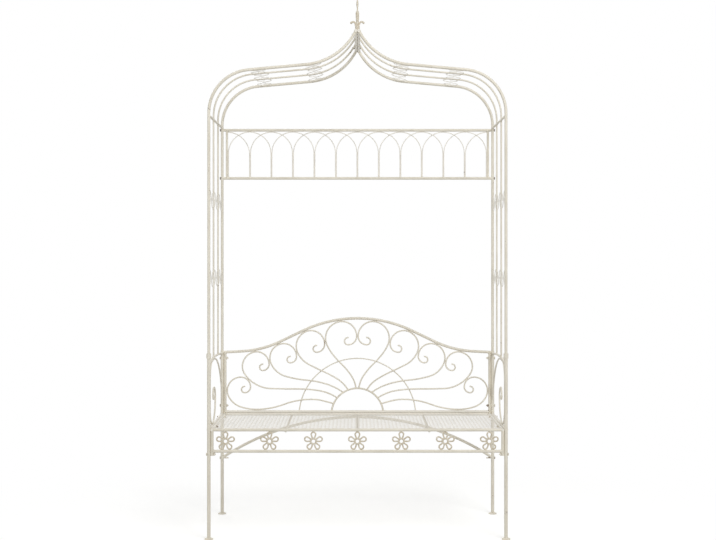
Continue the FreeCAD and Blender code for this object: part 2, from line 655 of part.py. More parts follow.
def make_support_arch():
    """Arched tube under the rear rail of the seat, its ends bolted to the rear legs."""
    half = num(LEG_X)
    foot = num("sizes.arch_foot")
    rise = num(f"{SEAT_Z} - sizes.bar_diameter - sizes.touch_gap") - foot
    radius = (half ** 2 + rise ** 2) / (2 * rise)
    slope = math.degrees(math.asin(half / radius))
    path = Path(half, foot, 180 - slope).arc(radius, 2 * slope)
    plane = front_plane(num(LEG_Y))
    whole = rod("arch", path, plane, BAR_R)
    bore = rod("arch_bore", path, plane, f"{BAR_R} - sizes.bar_wall")
    right = [legs["rear"], holes["arch"]]
    left = [mirror("arch_leg_left", legs["rear"]), mirror("arch_hole_left", holes["arch"])]
    keep("seat_support_arch", cut("support_arch", whole, bore, *right, *left))


def make_back_frame(seat_side, seat_rear):
    """Camel-back top rail, stiles and bottom rail; returns the top rail's axis and the bottom rail."""
    rear = num(LEG_Y)
    half = num(BAR_X)
    crown_z = num("sizes.back_height")
    crown_r = num("sizes.back_crown_radius")
    sweep_r = num("sizes.back_sweep_radius")
    run = num("sizes.back_shoulder_run")
    low = math.radians(num("sizes.back_shoulder_slope"))
    drop = crown_z - num("sizes.back_shoulder_height")

    def straight(steep):
        bends = crown_r * math.sin(steep) + sweep_r * (math.sin(steep) - math.sin(low))
        return (half - bends - run * math.cos(low)) / math.cos(steep)

    def too_low(degrees):
        steep = math.radians(degrees)
        bends = crown_r * (1 - math.cos(steep)) + sweep_r * (math.cos(low) - math.cos(steep))
        return bends + straight(steep) * math.sin(steep) + run * math.sin(low) - drop

    degrees = solve(too_low, math.degrees(low), 60)
    to_leg = run + num(f"{LEG_X} - {BAR_X}") / math.cos(low)
    flat = math.degrees(low)
    path = Path(-num(LEG_X), crown_z - drop - (to_leg - run) * math.sin(low), flat)
    path.line(to_leg).arc(sweep_r, degrees - flat).line(straight(math.radians(degrees)))
    path.arc(crown_r, -2 * degrees)
    path.line(straight(math.radians(degrees))).arc(sweep_r, degrees - flat).line(to_leg)
    top = rod("top_rail", path, front_plane(rear), BAR_R)
    keep("back_top_rail", cut("top_rail", top, legs["rear"], mirror("rear_leg_left", legs["rear"])))

    stile = bar("stile", BAR_R, f"sizes.back_shoulder_height - {SEAT_Z}", (BAR_X, LEG_Y, SEAT_Z), "z")
    both_sides("back_{side}_stile",
               cut("stile", stile, top, seat_side, seat_rear, holes["back_low"], holes["back_high"]))
    bottom = bar("back_bottom", BAR_R, f"2 * {BAR_X}", (f"-{BAR_X}", LEG_Y, BACK_BOTTOM_Z), "x")
    keep("back_bottom_rail", cut("back_bottom", bottom, stile, mirror("stile_left", stile)))
    return path.wire(*front_plane(0)), bottom


def sun_arc(name, centre_z, y):
    """Half circle standing on the bottom rail of the backrest."""
    radius = num(f"sizes.{name}_radius")
    start_z = num(BACK_BOTTOM_Z)
    lift = math.degrees(math.asin((start_z - centre_z) / radius))
    path = Path(radius * math.cos(math.radians(lift)), start_z, 90 + lift).arc(radius, 180 - 2 * lift)
    return rod(name, path, front_plane(y), f"sizes.{name}_diameter / 2")


def scroll_shape(number):
    """The sheet's values for one backrest scroll, by word."""
    return {word: num(f"sizes.scroll_{number}_{word}") for word in SCROLL_WORDS}


def place_loops(top_axis, rod_r, gap):
    """Centre of the outer arc and slope of the rail for each loop, all touching the rail and each other."""
    below = num(BAR_R) + rod_r + gap
    half_length = top_axis.Length / 2
    shapes = {number: scroll_shape(number) for number in SCROLLS}

    def loop(number, length):
        """Centres of the two upper arcs of a loop that touches the rail at a length from its crown."""
        point, tangent = at_length(top_axis, half_length + length)
        normal = Vector(-tangent.z, 0, tangent.x)
        touch = point - normal * below
        slope = math.degrees(math.atan2(-tangent.z, tangent.x))
        outer = touch - normal * shapes[number]["outer_radius"]
        inner = touch - normal * shapes[number]["inner_radius"]
        return outer, inner, slope

    top = max(SCROLLS)
    inner_r = shapes[top]["inner_radius"]
    length = solve(lambda s: loop(top, s)[1].x - inner_r - rod_r - gap / 2, 0, half_length)
    placed = {top: loop(top, length)}
    for number in range(top - 1, 1, -1):
        neighbour = placed[number + 1][0]
        apart = shapes[number]["inner_radius"] + shapes[number + 1]["outer_radius"] + 2 * rod_r + gap
        length = solve(lambda s: loop(number, s)[1].distanceToPoint(neighbour) - apart, length, half_length)
        placed[number] = loop(number, length)
    return {number: (outer, slope) for number, (outer, _, slope) in placed.items()}


def make_back_ornament(top_axis, bottom_rail):
    """Sun arcs and the five scrolls of each side, which touch the rails and each other."""
    rear = num(LEG_Y)
    rod_r = num("sizes.back_rod_diameter / 2")
    gap = num("sizes.touch_gap")
    inner_sun = sun_arc("sun_inner", num(SEAT_Z), rear)
    keep("back_sun_inner_arc", cut("sun_inner", inner_sun, bottom_rail))
    # The thin outer arc lies behind the scrolls and touches their backs
    behind = rear + rod_r + num("sizes.sun_outer_diameter / 2") + gap
    outer_sun = sun_arc("sun_outer", num(f"{SEAT_Z} - sizes.sun_outer_drop"), behind)
    keep("back_sun_outer_arc", cut("sun_outer", outer_sun, bottom_rail))

    placed = place_loops(top_axis, rod_r, gap)
    # The lowest scroll touches the stile and rests on the bottom rail; the next one passes over its loop
    low = scroll_shape(1)
    loop_x = num(f"{BAR_X} - {BAR_R}") - rod_r - gap - low["outer_radius"]
    rest_z = num(f"{BACK_BOTTOM_Z} + {BAR_R}") + rod_r + gap
    loop_z = rest_z + num("sizes.low_loop_rise")
    placed[1] = (Vector(loop_x, 0, loop_z), 0)
    towards = num("sizes.low_loop_contact")
    contact = direction(towards) * (low["inner_radius"] + 2 * rod_r + gap)
    inner_z = loop_z + low["outer_radius"] - low["inner_radius"]
    stations = {
        1: (loop_x - num("sizes.low_rest_inset"), rest_z, 0),
        2: (loop_x + contact.x, inner_z + contact.y, towards - 90),
    }

    for number in SCROLLS:
        shape = scroll_shape(number)
        centre, slope = placed[number]
        start = direction(shape["sun_angle"]) * num("sizes.sun_inner_radius")
        path = Path(start.x, num(SEAT_Z) + start.y, shape["heading"])
        path.to(shape["bend_x"], shape["bend_z"], shape["bend_heading"])
        if number in stations:
            path.to(*stations[number])
        entry = direction(shape["entry"]) * shape["outer_radius"]
        path.to(centre.x + entry.x, centre.z + entry.y, 90 + shape["entry"])
        path.arc(shape["outer_radius"], 90 - shape["entry"] - slope)
        path.arc(shape["inner_radius"], 90 + slope)
        path.arc(shape["curl_radius"], 90)
        path.arc(shape["eye_radius"], num("sizes.back_eye_turn"))
        scroll = rod(f"back_scroll_{number}", path, front_plane(rear), "sizes.back_rod_diameter / 2")
        right = cut(f"back_scroll_{number}", scroll, inner_sun)
        pair = group(f"scroll_pair_{number}", [right, mirror(f"back_scroll_{number}_left", right)])
        keep(f"back_scroll_pair_{number}", pair)


def bays(lift):
    """The bays between front tube, two rods and rear tube, as (middle, direction across, clear width).

    The rods lie `lift` above the tubes.
    """
    tube_y = num(LEG_Y)
    rod_y = num(ROD_Y)
    axes = [Vector(0, -tube_y, 0), Vector(0, -rod_y, lift), Vector(0, rod_y, lift), Vector(0, tube_y, 0)]
    tube_r = num(UPRIGHT_R)
    rod_r = num("sizes.rod_diameter / 2")
    radii = [tube_r, rod_r, rod_r, tube_r]
    result = []
    for index in range(3):
        across = axes[index + 1] - axes[index]
        width = across.Length - radii[index] - radii[index + 1]
        across.normalize()
        result.append((axes[index] + across * (radii[index] + width / 2), across, width))
    return result


def s_scroll(name, plane, width):
    """A lying S of wire that fills a bay from side to side."""
    wire_r = num("sizes.s_wire / 2")
    loop_r = num("sizes.s_height / 2") - wire_r
    side = width / 2 - wire_r - num("sizes.touch_gap")
    half = Path(0, 0, -num("sizes.s_slope")).to(side - loop_r, -loop_r, 0).arc(loop_r, 90)
    half.arc(num("sizes.s_curl_radius"), 90).arc(num("sizes.s_eye_radius"), num("sizes.s_eye_turn"))
    # The other half is the same turned by half a circle, so the whole is drawn from end to end
    path = Path(0, 0, 0)
    turned = [tuple(Vector(-p.x, -p.y, 0) for p in reversed(piece)) for piece in reversed(half.pieces)]
    path.pieces = turned + half.pieces
    return rod(name, path, plane, "sizes.s_wire / 2")


def make_trellis(arm):
    """Thin rods, eave bar and S-scrolls between the uprights of each side."""
    eave_at = (LEG_X, f"-{LEG_Y}", EAVE_BAR_Z)
    eave = bar("eave", "sizes.eave_bar_diameter / 2", "sizes.leg_depth", eave_at, "y")
    both_sides("{side}_eave_bar", cut("eave_bar", eave, uprights["front"], uprights["rear"]))
    # The bow of the arm rail drops by a ninth of its crown from the middle to a rod
    foot_z = "(sizes.arm_height + sizes.arm_crown * 8 / 9)"
    rods = []
    for name, sign in (("front", "-"), ("rear", "")):
        at = (LEG_X, sign + ROD_Y, foot_z)
        thin = bar(f"{name}_rod", "sizes.rod_diameter / 2", f"{EAVE_BAR_Z} - {foot_z}", at, "z")
        rods.append(cut(f"{name}_rod", thin, arm, eave))
    both_sides("{side}_trellis_rods", group("trellis_rods", rods))
    scrolls = []
    for row in ("lower", "upper"):
        centre = Vector(num(LEG_X), 0, num(f"sizes.s_{row}_height"))
        for index, (middle, across, width) in enumerate(bays(0)):
            plane = (centre + middle, across, Vector(0, 0, 1))
            scrolls.append(s_scroll(f"trellis_s_{row}_{index}", plane, width))
    both_sides("{side}_trellis_scrolls", group("trellis_scrolls", scrolls))
    return eave


def roof_profile(foot_z, lift):
    """Half of the roof in section: up from the eave, over the shoulder, and up again to the ridge."""
    eave_x = num(LEG_X)
    ridge_x = num(RIDGE_X)
    rise = num("sizes.roof_rise")
    upright = num("sizes.roof_straight")
    shoulder_r = num("sizes.roof_shoulder_radius")
    crown_r = num("sizes.roof_crown_radius")
    peak = math.radians(num("sizes.roof_peak_slope"))

    def straight(slope):
        bends = shoulder_r * (1 - math.sin(slope)) + crown_r * (math.sin(peak) - math.sin(slope))
        return (eave_x - ridge_x - bends) / math.cos(slope)

    def too_high(degrees):
        slope = math.radians(degrees)
        bends = shoulder_r * math.cos(slope) + crown_r * (math.cos(slope) - math.cos(peak))
        return upright + bends + straight(slope) * math.sin(slope) - rise

    degrees = solve(too_high, -40, 55)
    path = Path(eave_x, foot_z, 90).line(num("sizes.eave_height") - foot_z + upright + lift)
    path.arc(shoulder_r, 90 - degrees)
    path.line(straight(math.radians(degrees)))
    path.arc(crown_r, degrees - math.degrees(peak))
    return path


def make_roof(eave):
    """Ridge bars, roof tubes that plug into the uprights, thin rods and S-scrolls."""
    ridge_length = "sizes.leg_depth + 2 * sizes.ridge_overhang"
    ridge_at = (RIDGE_X, f"-{LEG_Y} - sizes.ridge_overhang", RIDGE_Z)
    ridge = bar("ridge", BAR_R, ridge_length, ridge_at, "y")
    bolts = [holes["ridge_front"], holes["ridge_rear"]]
    pair = [cut("ridge_bar", ridge, *bolts), cut("ridge_bar_left", mirror("ridge_left", ridge), *bolts)]
    keep("ridge_bars", group("ridge_pair", pair))

    profile = roof_profile(num("sizes.eave_height"), 0)
    plane = front_plane(-num(LEG_Y))
    whole = rod("roof", profile, plane, UPRIGHT_R)
    hollow = rod("roof_bore", profile, plane, f"{UPRIGHT_R} - sizes.upright_wall")
    spigot_r = f"{UPRIGHT_R} - sizes.upright_wall - sizes.socket_clearance"
    spigot_at = (LEG_X, f"-{LEG_Y}", "sizes.eave_height - sizes.spigot_length")
    spigot = bar("spigot", spigot_r, "sizes.spigot_length", spigot_at, "z")
    root_at = (LEG_X, f"-{LEG_Y}", "sizes.eave_height")
    root = bar("spigot_root", UPRIGHT_R, "sizes.roof_straight", root_at, "z")
    front = fuse("roof_tube", [cut("roof_tube", whole, hollow, ridge), root, spigot])
    both_sides("front_{side}_roof_tube", front)
    rear = mirror("roof_tube_rear", front, Vector(0, 1, 0))
    both_sides("rear_{side}_roof_tube", cut("rear_roof_tube", rear, holes["lattice_top"]))

    lift = num("sizes.roof_rod_lift")
    thin_path = roof_profile(num(EAVE_BAR_Z), lift)
    rods = []
    for name, sign in (("front", -1), ("rear", 1)):
        thin = rod(f"{name}_roof_rod", thin_path, front_plane(sign * num(ROD_Y)), "sizes.rod_diameter / 2")
        rods.append(cut(f"{name}_roof_rod", thin, eave, ridge))
    both_sides("{side}_roof_rods", group("roof_rods", rods))

    axis = profile.wire(*front_plane(0))
    scrolls = []
    for row in ("first", "second"):
        point, tangent = at_length(axis, num(f"sizes.roof_s_{row}"))
        for index, (middle, across, width) in enumerate(bays(lift)):
            along = tangent - across * tangent.dot(across)
            plane = (point + middle, across, along.normalize())
            scrolls.append(s_scroll(f"roof_s_{row}_{index}", plane, width))
    both_sides("{side}_roof_scrolls", group("roof_scrolls", scrolls))


def make_lattice():
    """Panel between the rear uprights: rails, end bars and interlaced wire arches in two layers."""
    rear = num(LEG_Y)
    end_x = f"({LEG_X} - sizes.lattice_inset)"
    sides = [uprights["rear"], mirror("rear_upright_left", uprights["rear"])]
    rails = {}
    for end in ("top", "bottom"):
        at = (f"-{LEG_X}", LEG_Y, f"sizes.lattice_{end}")
        rails[end] = bar(f"lattice_{end}", BAR_R, "sizes.leg_spacing", at, "x")
        hole = holes[f"lattice_{end}"]
        bolted = [hole, mirror(f"lattice_{end}_hole_left", hole)]
        keep(f"lattice_{end}_rail", cut(f"lattice_{end}_rail", rails[end], *sides, *bolted))
    end_length = "sizes.lattice_top - sizes.lattice_bottom"
    end_bar = bar("lattice_end", "sizes.lattice_end_diameter / 2", end_length,
                  (end_x, LEG_Y, "sizes.lattice_bottom"), "z")
    end_cut = cut("lattice_end", end_bar, rails["top"], rails["bottom"])
    keep("lattice_end_bars", group("lattice_ends", [end_cut, mirror("lattice_end_left", end_cut)]))

    wire_r = num("sizes.lattice_wire / 2")
    gap = num("sizes.touch_gap")
    layer = wire_r + gap / 2
    count = round(num("sizes.lattice_bays"))
    edge = num(end_x)
    first = edge - num("sizes.lattice_end_diameter / 2") - wire_r - gap
    pitch = 2 * first / count
    crown_z = num(f"sizes.lattice_top - {BAR_R}") - wire_r - gap
    foot_z = num("sizes.lattice_bottom")

    def leg_x(line, toward):
        """Where an arch stands beside a bay line, on the side `toward` the arch."""
        if line in (0, count):
            return -first + line * pitch
        return -first + line * pitch + toward * layer

    wires = []
    for line in range(-1, count):
        # Arches that start on odd bay lines lie behind those that start on even ones
        plane = front_plane(rear + (layer if line % 2 else -layer))
        if line == -1:
            path = Path(leg_x(1, -1), foot_z, 90)
            radius = leg_x(1, -1) + edge
            path.line(crown_z - radius - foot_z).arc(radius, 90)
        elif line == count - 1:
            path = Path(leg_x(line, 1), foot_z, 90)
            radius = edge - leg_x(line, 1)
            path.line(crown_z - radius - foot_z).arc(radius, -90)
        else:
            right_x = leg_x(line + 2, -1)
            radius = (right_x - leg_x(line, 1)) / 2
            path = Path(right_x, foot_z, 90).line(crown_z - radius - foot_z)
            path.arc(radius, 180).line(crown_z - radius - foot_z)
        wire = rod(f"lattice_arch_{line + 1}", path, plane, "sizes.lattice_wire / 2")
        tools = [rails["bottom"]]
        if line == -1:
            tools.append(mirror("end_bar_tool", end_bar))
        if line == count - 1:
            tools.append(end_bar)
        wires.append(cut(f"lattice_arch_{line + 1}", wire, *tools))
    keep("lattice_arches", group("lattice_wires", wires))


def make_finial():
    """Cast fleur-de-lis on a base plate across the two ridge bars."""
    plate = doc.addObject("Part::Box", "finial_plate")
    for edge in ("Length", "Width"):
        plate.setExpression(edge, "sizes.finial_base")
    plate.setExpression("Height", "sizes.finial_plate")
    plate_z = f"({RIDGE_Z} + {BAR_R})"
    bind(plate, ("-sizes.finial_base / 2", "-sizes.finial_base / 2", plate_z))
    collar_z = f"({plate_z} + sizes.finial_plate + sizes.finial_stem_height)"
    stem_length = "sizes.finial_stem_height + sizes.finial_collar_height"
    stem = bar("finial_stem", "sizes.finial_stem_diameter / 2", stem_length,
               ("0", "0", f"{plate_z} + sizes.finial_plate"), "z")
    collar = bar("finial_collar", "sizes.finial_collar_diameter / 2", "sizes.finial_collar_height",
                 ("0", "0", collar_z), "z")
    foot_z = f"({collar_z} + sizes.finial_collar_height / 2)"
    foot = num(foot_z)
    tip_r = num("sizes.finial_tip_diameter / 2")
    tip_z = foot + num("sizes.finial_tip_height")
    side = Path(num("sizes.finial_foot_diameter / 2"), foot, 90)
    for part in ("leaf", "neck", "blade"):
        side.to(num(f"sizes.finial_{part}_diameter / 2"), foot + num(f"sizes.finial_{part}_height"), 90)
    side.to(tip_r, tip_z, 90 + num("sizes.finial_tip_lean"))
    back = Part.makePolygon([Vector(tip_r, 0, tip_z), Vector(0, 0, tip_z), Vector(0, 0, foot),
                             Vector(num("sizes.finial_foot_diameter / 2"), 0, foot)])
    outline = doc.addObject("Part::Feature", "finial_outline")
    outline.Shape = Part.Face(Part.Wire(side.wire(*front_plane(0)).Edges + back.Edges))
    spear = doc.addObject("Part::Revolution", "finial_spear")
    spear.Source = outline
    spear.Axis = Vector(0, 0, 1)
    spear.Angle = 360
    spear.Solid = True

    petal_r = "sizes.finial_petal_diameter / 2"
    path = Path(num(petal_r), foot, 90 - num("sizes.finial_petal_lean"))
    path.line(num("sizes.finial_petal_rise"))
    path.arc(num("sizes.finial_petal_radius"), -num("sizes.finial_petal_turn"))
    petal = rod("finial_petal", path, front_plane(0), petal_r)
    ball = doc.addObject("Part::Sphere", "finial_ball")
    ball.setExpression("Radius", "sizes.finial_petal_ball / 2")
    ball.Placement = Placement(Vector(path.point.x, 0, path.point.y), Rotation())
    pieces = [plate, stem, collar, spear]
    for name, piece in (("petal", petal), ("ball", ball)):
        pieces += [piece, mirror(f"finial_{name}_left", piece)]
    keep("finial", fuse("finial_cast", pieces))


def write_parts():
    """Check every object and write one file for each node."""
    doc.recompute()
    for item in doc.Objects:
        if "Invalid" in item.State or "Error" in item.State:
            raise RuntimeError(f"{item.Name} failed: {item.State}")
    for label, piece in nodes.items():
        if piece.Shape.isNull() or not piece.Shape.isValid() or not piece.Shape.Solids:
            raise RuntimeError(f"{label} has no valid solid")
    os.makedirs("parts", exist_ok=True)
    for label, piece in nodes.items():
        piece.Shape.exportStep(os.path.join("parts", f"{label}.step"))
        print(f"{label}: {len(piece.Shape.Solids)} solids, {piece.Shape.Volume:.0f} mm3")
    print(f"{len(nodes)} nodes")


def main():
    make_bolts()
    make_legs()
    make_uprights()
    make_side_rails()
    arm = make_arms()
    seat_side, seat_front, seat_rear = make_seat()
    make_apron(seat_side, seat_front)
    make_support_arch()
    top_axis, bottom_rail = make_back_frame(seat_side, seat_rear)
    make_back_ornament(top_axis, bottom_rail)
    eave = make_trellis(arm)
    make_roof(eave)
    make_lattice()
    make_finial()
    write_parts()


main()
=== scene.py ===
"""Ivory painted iron garden bench under its own arch, dressed round its fixed frame. Units are metres.

The frame carries every rail, rod and scroll. This script adds the expanded metal of the seat, the weld beads
at the joints, the paint and the bare metal, and a plain white studio.
"""
import functools
import math
import bpy
import numpy as np
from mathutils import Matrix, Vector
from mathutils.bvhtree import BVHTree
from mathutils.kdtree import KDTree


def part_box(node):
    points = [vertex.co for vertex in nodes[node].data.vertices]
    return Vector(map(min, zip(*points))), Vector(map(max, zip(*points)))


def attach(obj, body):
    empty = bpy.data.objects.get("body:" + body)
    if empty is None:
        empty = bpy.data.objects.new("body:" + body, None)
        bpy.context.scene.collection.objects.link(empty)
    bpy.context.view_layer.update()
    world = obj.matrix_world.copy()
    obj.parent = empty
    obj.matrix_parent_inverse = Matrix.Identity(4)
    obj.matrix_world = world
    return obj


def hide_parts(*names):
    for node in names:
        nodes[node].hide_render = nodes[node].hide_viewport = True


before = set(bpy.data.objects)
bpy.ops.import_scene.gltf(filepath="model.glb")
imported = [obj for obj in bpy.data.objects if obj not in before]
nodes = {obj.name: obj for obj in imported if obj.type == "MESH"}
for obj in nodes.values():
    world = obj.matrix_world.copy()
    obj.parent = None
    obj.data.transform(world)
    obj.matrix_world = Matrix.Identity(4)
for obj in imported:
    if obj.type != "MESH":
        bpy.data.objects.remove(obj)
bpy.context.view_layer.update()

# Paint and metal colours; the tan serves the stains and the painted shade, the pale ivory the paler mottle and the
# painted light
IVORY = (0.80, 0.755, 0.65)
IVORY_DEEP = (0.72, 0.672, 0.565)
IVORY_PALE = (0.86, 0.83, 0.765)
TAN_STAIN_AND_SHADE = (0.48, 0.39, 0.26)
PRIMER = (0.15, 0.09, 0.05)
ZINC = (0.36, 0.34, 0.31)
ZINC_DULL = (0.16, 0.135, 0.11)
FLOOR_WHITE = (0.74, 0.74, 0.73, 1.0)
WHITE = (1.0, 1.0, 1.0, 1.0)

# Noise scales of the paint and of the zinc
CLOUD_SCALE = 9.0
MOTTLE_SCALE = 130.0
GRAIN_SCALE = 900.0
PATCH_SCALE = 16.0
FLAKE_SCALE = 210.0
BLOOM_SCALE = 320.0
SCRATCH_SCALE = 1500.0

# How far from a corner the painted corner shade reaches, the soft edge of a chip, and the depth of the brush marks
# and scratches
CORNER_REACH = 0.007
CHIP_EDGE = 0.02
RELIEF = 0.25
PAINT_DEPTH = 0.0006
ZINC_DEPTH = 0.0005

# The height up to which the bolts are painted, and how far the paint thins out there
PAINTED_UP_TO = 1.3
PAINT_FADE = 0.01


class Value:
    """A socket that takes part in sums; each operator adds a Math node."""

    def __init__(self, graph, socket):
        self.graph = graph
        self.socket = socket

    def math(self, operation, *others):
        return self.graph.node("ShaderNodeMath", {"operation": operation}, dict(enumerate((self, *others))))

    def __add__(self, other):
        return self.math("ADD", other)

    def __sub__(self, other):
        return self.math("SUBTRACT", other)

    def __rsub__(self, other):
        return self.math("MULTIPLY_ADD", -1.0, other)

    def __mul__(self, other):
        return self.math("MULTIPLY", other)

    __radd__ = __add__
    __rmul__ = __mul__

    def most(self, other):
        """The larger of two values."""
        return self.math("MAXIMUM", other)

    def rise(self, low, high):
        """0 below low, 1 above high, and smooth between."""
        settings = {"interpolation_type": "SMOOTHSTEP"}
        inputs = {"Value": self, "From Min": low, "From Max": high, "To Min": 0.0, "To Max": 1.0}
        return self.graph.node("ShaderNodeMapRange", settings, inputs)


class Graph:
    """A node tree that is filled in by calls."""

    def __init__(self, tree):
        self.tree = tree

    def node(self, kind, settings=None, inputs=None, out=0):
        """One node: its settings first, then the values or links of its sockets; returns one output.

        A list links every value in it to the same socket.
        """
        made = self.tree.nodes.new(kind)
        for name, value in (settings or {}).items():
            setattr(made, name, value)
        for name, given in (inputs or {}).items():
            for value in given if isinstance(given, list) else [given]:
                if isinstance(value, Value):
                    self.tree.links.new(value.socket, made.inputs[name])
                else:
                    made.inputs[name].default_value = value
        return Value(self, made.outputs[out]) if made.outputs else made

    def place(self):
        """Object coordinates."""
        return self.node("ShaderNodeTexCoord", out="Object")

    def noise(self, where, scale, detail=2.0, roughness=0.5):
        inputs = {"Vector": where, "Scale": scale, "Detail": detail, "Roughness": roughness}
        return self.node("ShaderNodeTexNoise", None, inputs)

    def blend(self, factor, first, second):
        """Mix two colours, each a socket or an RGB triple."""
        first, second = (colour if isinstance(colour, Value) else (*colour, 1.0) for colour in (first, second))
        return self.node("ShaderNodeMix", {"data_type": "RGBA"}, {0: factor, 6: first, 7: second}, 2)

    def bump(self, height, depth):
        """A normal that follows a height."""
        return self.node("ShaderNodeBump", None, {"Strength": RELIEF, "Distance": depth, "Height": height})


def empty_graph(owner):
    """The cleared graph of a material or a world."""
    owner.use_nodes = True
    owner.node_tree.nodes.clear()
    return Graph(owner.node_tree)


def new_material(name):
    """An empty material and the graph of its nodes."""
    material = bpy.data.materials.new(name)
    return material, empty_graph(material)


def new_object(name, data):
    """An object in the scene."""
    made = bpy.data.objects.new(name, data)
    bpy.context.scene.collection.objects.link(made)
    return made


def finish_surface(graph, inputs):
    """One Principled surface as the whole material."""
    shader = graph.node("ShaderNodeBsdfPrincipled", None, inputs)
    graph.node("ShaderNodeOutputMaterial", None, {"Surface": shader})


def paint_coat(graph, where, glaze, chips, pale=0.0, wash=0.0):
    """Colour, roughness and height of brushed ivory paint.

    The tone is cloudy, tan painted shade darkens the corners and the places where parts meet, tan stains lie in
    random patches, and small chips go down to brown primer. The first number sets how strong the painted corner shade
    and the stains are, and a higher number for chips gives fewer of them. Pale is the least share of the top coat's
    lighter tone, painted light that makes a part look more lit, and the last number the most of a tan wash in
    patches, painted shade that makes a part look darker.
    """
    cloud = graph.noise(where, CLOUD_SCALE, 3.0)
    mottle = graph.noise(where, MOTTLE_SCALE, 3.0, 0.6)
    grain = graph.noise(where, GRAIN_SCALE, 2.0, 0.6)
    patch = graph.noise(where, PATCH_SCALE, 2.0)
    flake = graph.noise(where, FLAKE_SCALE, 4.0, 0.65)

    # Painted shade: ambient occlusion turns the paint tan in corners and where parts meet
    corner = graph.node("ShaderNodeAmbientOcclusion", {"samples": 6}, {"Distance": CORNER_REACH}, "AO")
    glazed = (1.0 - corner).rise(0.2, 0.8) * (mottle.rise(0.25, 0.75) * 0.5 + 0.5) * glaze
    smear = patch.rise(0.55, 0.75) * mottle.rise(0.45, 0.8) * (0.35 * glaze)
    # Painted shade: tan in patches over a whole part, as strong as the last number given
    shade_wash_patches = mottle.rise(0.2, 0.7) * wash
    chipped = (patch * 0.55 + flake * 0.45).rise(chips, chips + CHIP_EDGE)

    tone = graph.blend(cloud.rise(0.3, 0.7), IVORY_DEEP, IVORY)
    # Painted light: pale raises the share of the lighter tone so that a whole part looks more lit
    tone = graph.blend((mottle.rise(0.5, 0.85) * 0.6).most(pale), tone, IVORY_PALE)
    # Tan for the painted corner shade, the stains and the tan wash of painted shade
    tone = graph.blend(glazed.most(smear).most(shade_wash_patches), tone, TAN_STAIN_AND_SHADE)
    tone = graph.blend(chipped, tone, PRIMER)
    roughness = 0.40 + mottle * 0.14 + chipped * 0.3
    height = grain * 0.3 + mottle * 0.7 - chipped * 1.5
    return tone, roughness, height


def ivory_paint(name, **coat):
    """Brushed ivory paint on a piece of the frame."""
    material, graph = new_material(name)
    tone, roughness, height = paint_coat(graph, graph.place(), **coat)
    finish_surface(graph, {"Base Color": tone, "Roughness": roughness, "Specular IOR Level": 0.45,
                           "Normal": graph.bump(height, PAINT_DEPTH)})
    return material


def bolt_metal():
    """Bolts and nuts: painted over with the bench, and bare dull zinc on the lattice and the ridge."""
    material, graph = new_material("bolt_metal")
    where = graph.place()
    bloom = graph.noise(where, BLOOM_SCALE, 4.0, 0.65)
    scratch = graph.noise(where, SCRATCH_SCALE, 2.0)
    # The painted bolts carry the tan painted shade in their corners too
    coat, coat_roughness, coat_height = paint_coat(graph, where, glaze=0.5, chips=0.58)
    level = graph.node("ShaderNodeSeparateXYZ", None, {0: where}, "Z")
    bare = level.rise(PAINTED_UP_TO, PAINTED_UP_TO + PAINT_FADE)
    plate = graph.blend(bloom.rise(0.4, 0.65), ZINC_DULL, ZINC)
    roughness = coat_roughness * (1.0 - bare) + (0.36 + bloom * 0.3) * bare
    height = coat_height * (1.0 - bare) + (scratch + bloom) * 0.4 * bare
    finish_surface(graph, {"Base Color": graph.blend(bare, coat, plate), "Metallic": bare * 0.75,
                           "Roughness": roughness, "Normal": graph.bump(height, ZINC_DEPTH)})
    return material


# Every paint turns tan in its corners, painted shade. The thin wires, the rails, the ridge and the seat mesh are
# paler copies of one paint, painted light; the flowers and the finial a darker copy, painted shade; the beads carry
# the most corner shade
frame_paint = ivory_paint("ivory_frame_paint", glaze=0.4, chips=0.66)
wire_paint = ivory_paint("ivory_wire_paint", glaze=0.4, chips=0.65)
flower_paint = ivory_paint("ivory_flower_paint", glaze=0.7, chips=0.64, wash=0.7)
thin_wire_paint = ivory_paint("ivory_thin_wire_paint", glaze=0.2, chips=0.68, pale=0.8)
rail_paint_painted_light = ivory_paint("ivory_rail_paint_painted_light", glaze=0.15, chips=0.67, pale=0.7)
mesh_paint = ivory_paint("ivory_mesh_paint", glaze=0.0, chips=0.69, pale=0.9, wash=0.10)
bead_paint = ivory_paint("ivory_bead_paint", glaze=0.7, chips=0.62)
fastener = bolt_metal()

# A frame node takes the first finish with a word that is in its name, and frame paint where there is none
FINISHES = (
    (fastener, ("frame_bolts", "frame_nuts")),
    (flower_paint, ("flower", "finial")),
    (rail_paint_painted_light, ("seat_rear", "seat_left", "seat_right", "side_rail", "back_bottom", "cross_bars", "ridge")),
    (thin_wire_paint, ("trellis_scrolls", "roof_scrolls", "arches")),
    (wire_paint, ("scroll", "rods", "sun")),
)
for name, node in nodes.items():
    finish = next((paint for paint, words in FINISHES if any(word in name for word in words)), frame_paint)
    node.data.materials.clear()
    node.data.materials.append(finish)


def node_points(name):
    """The vertices of a frame node as rows of x, y, z."""
    vertices = nodes[name].data.vertices
    points = np.empty(len(vertices) * 3)
    vertices.foreach_get("co", points)
    return points.reshape(-1, 3)


def tree_with(name, sizes):
    """A Geometry Nodes tree with named size inputs: the tree, its graph and its input sockets by name."""
    tree = bpy.data.node_groups.new(name, "GeometryNodeTree")
    tree.interface.new_socket("Geometry", in_out="INPUT", socket_type="NodeSocketGeometry")
    tree.interface.new_socket("Geometry", in_out="OUTPUT", socket_type="NodeSocketGeometry")
    for label in sizes:
        tree.interface.new_socket(label, in_out="INPUT", socket_type="NodeSocketFloat")
    graph = Graph(tree)
    group = graph.node("NodeGroupInput").socket.node
    given = {socket.name: Value(graph, socket) for socket in group.outputs if socket.name}
    return tree, graph, given


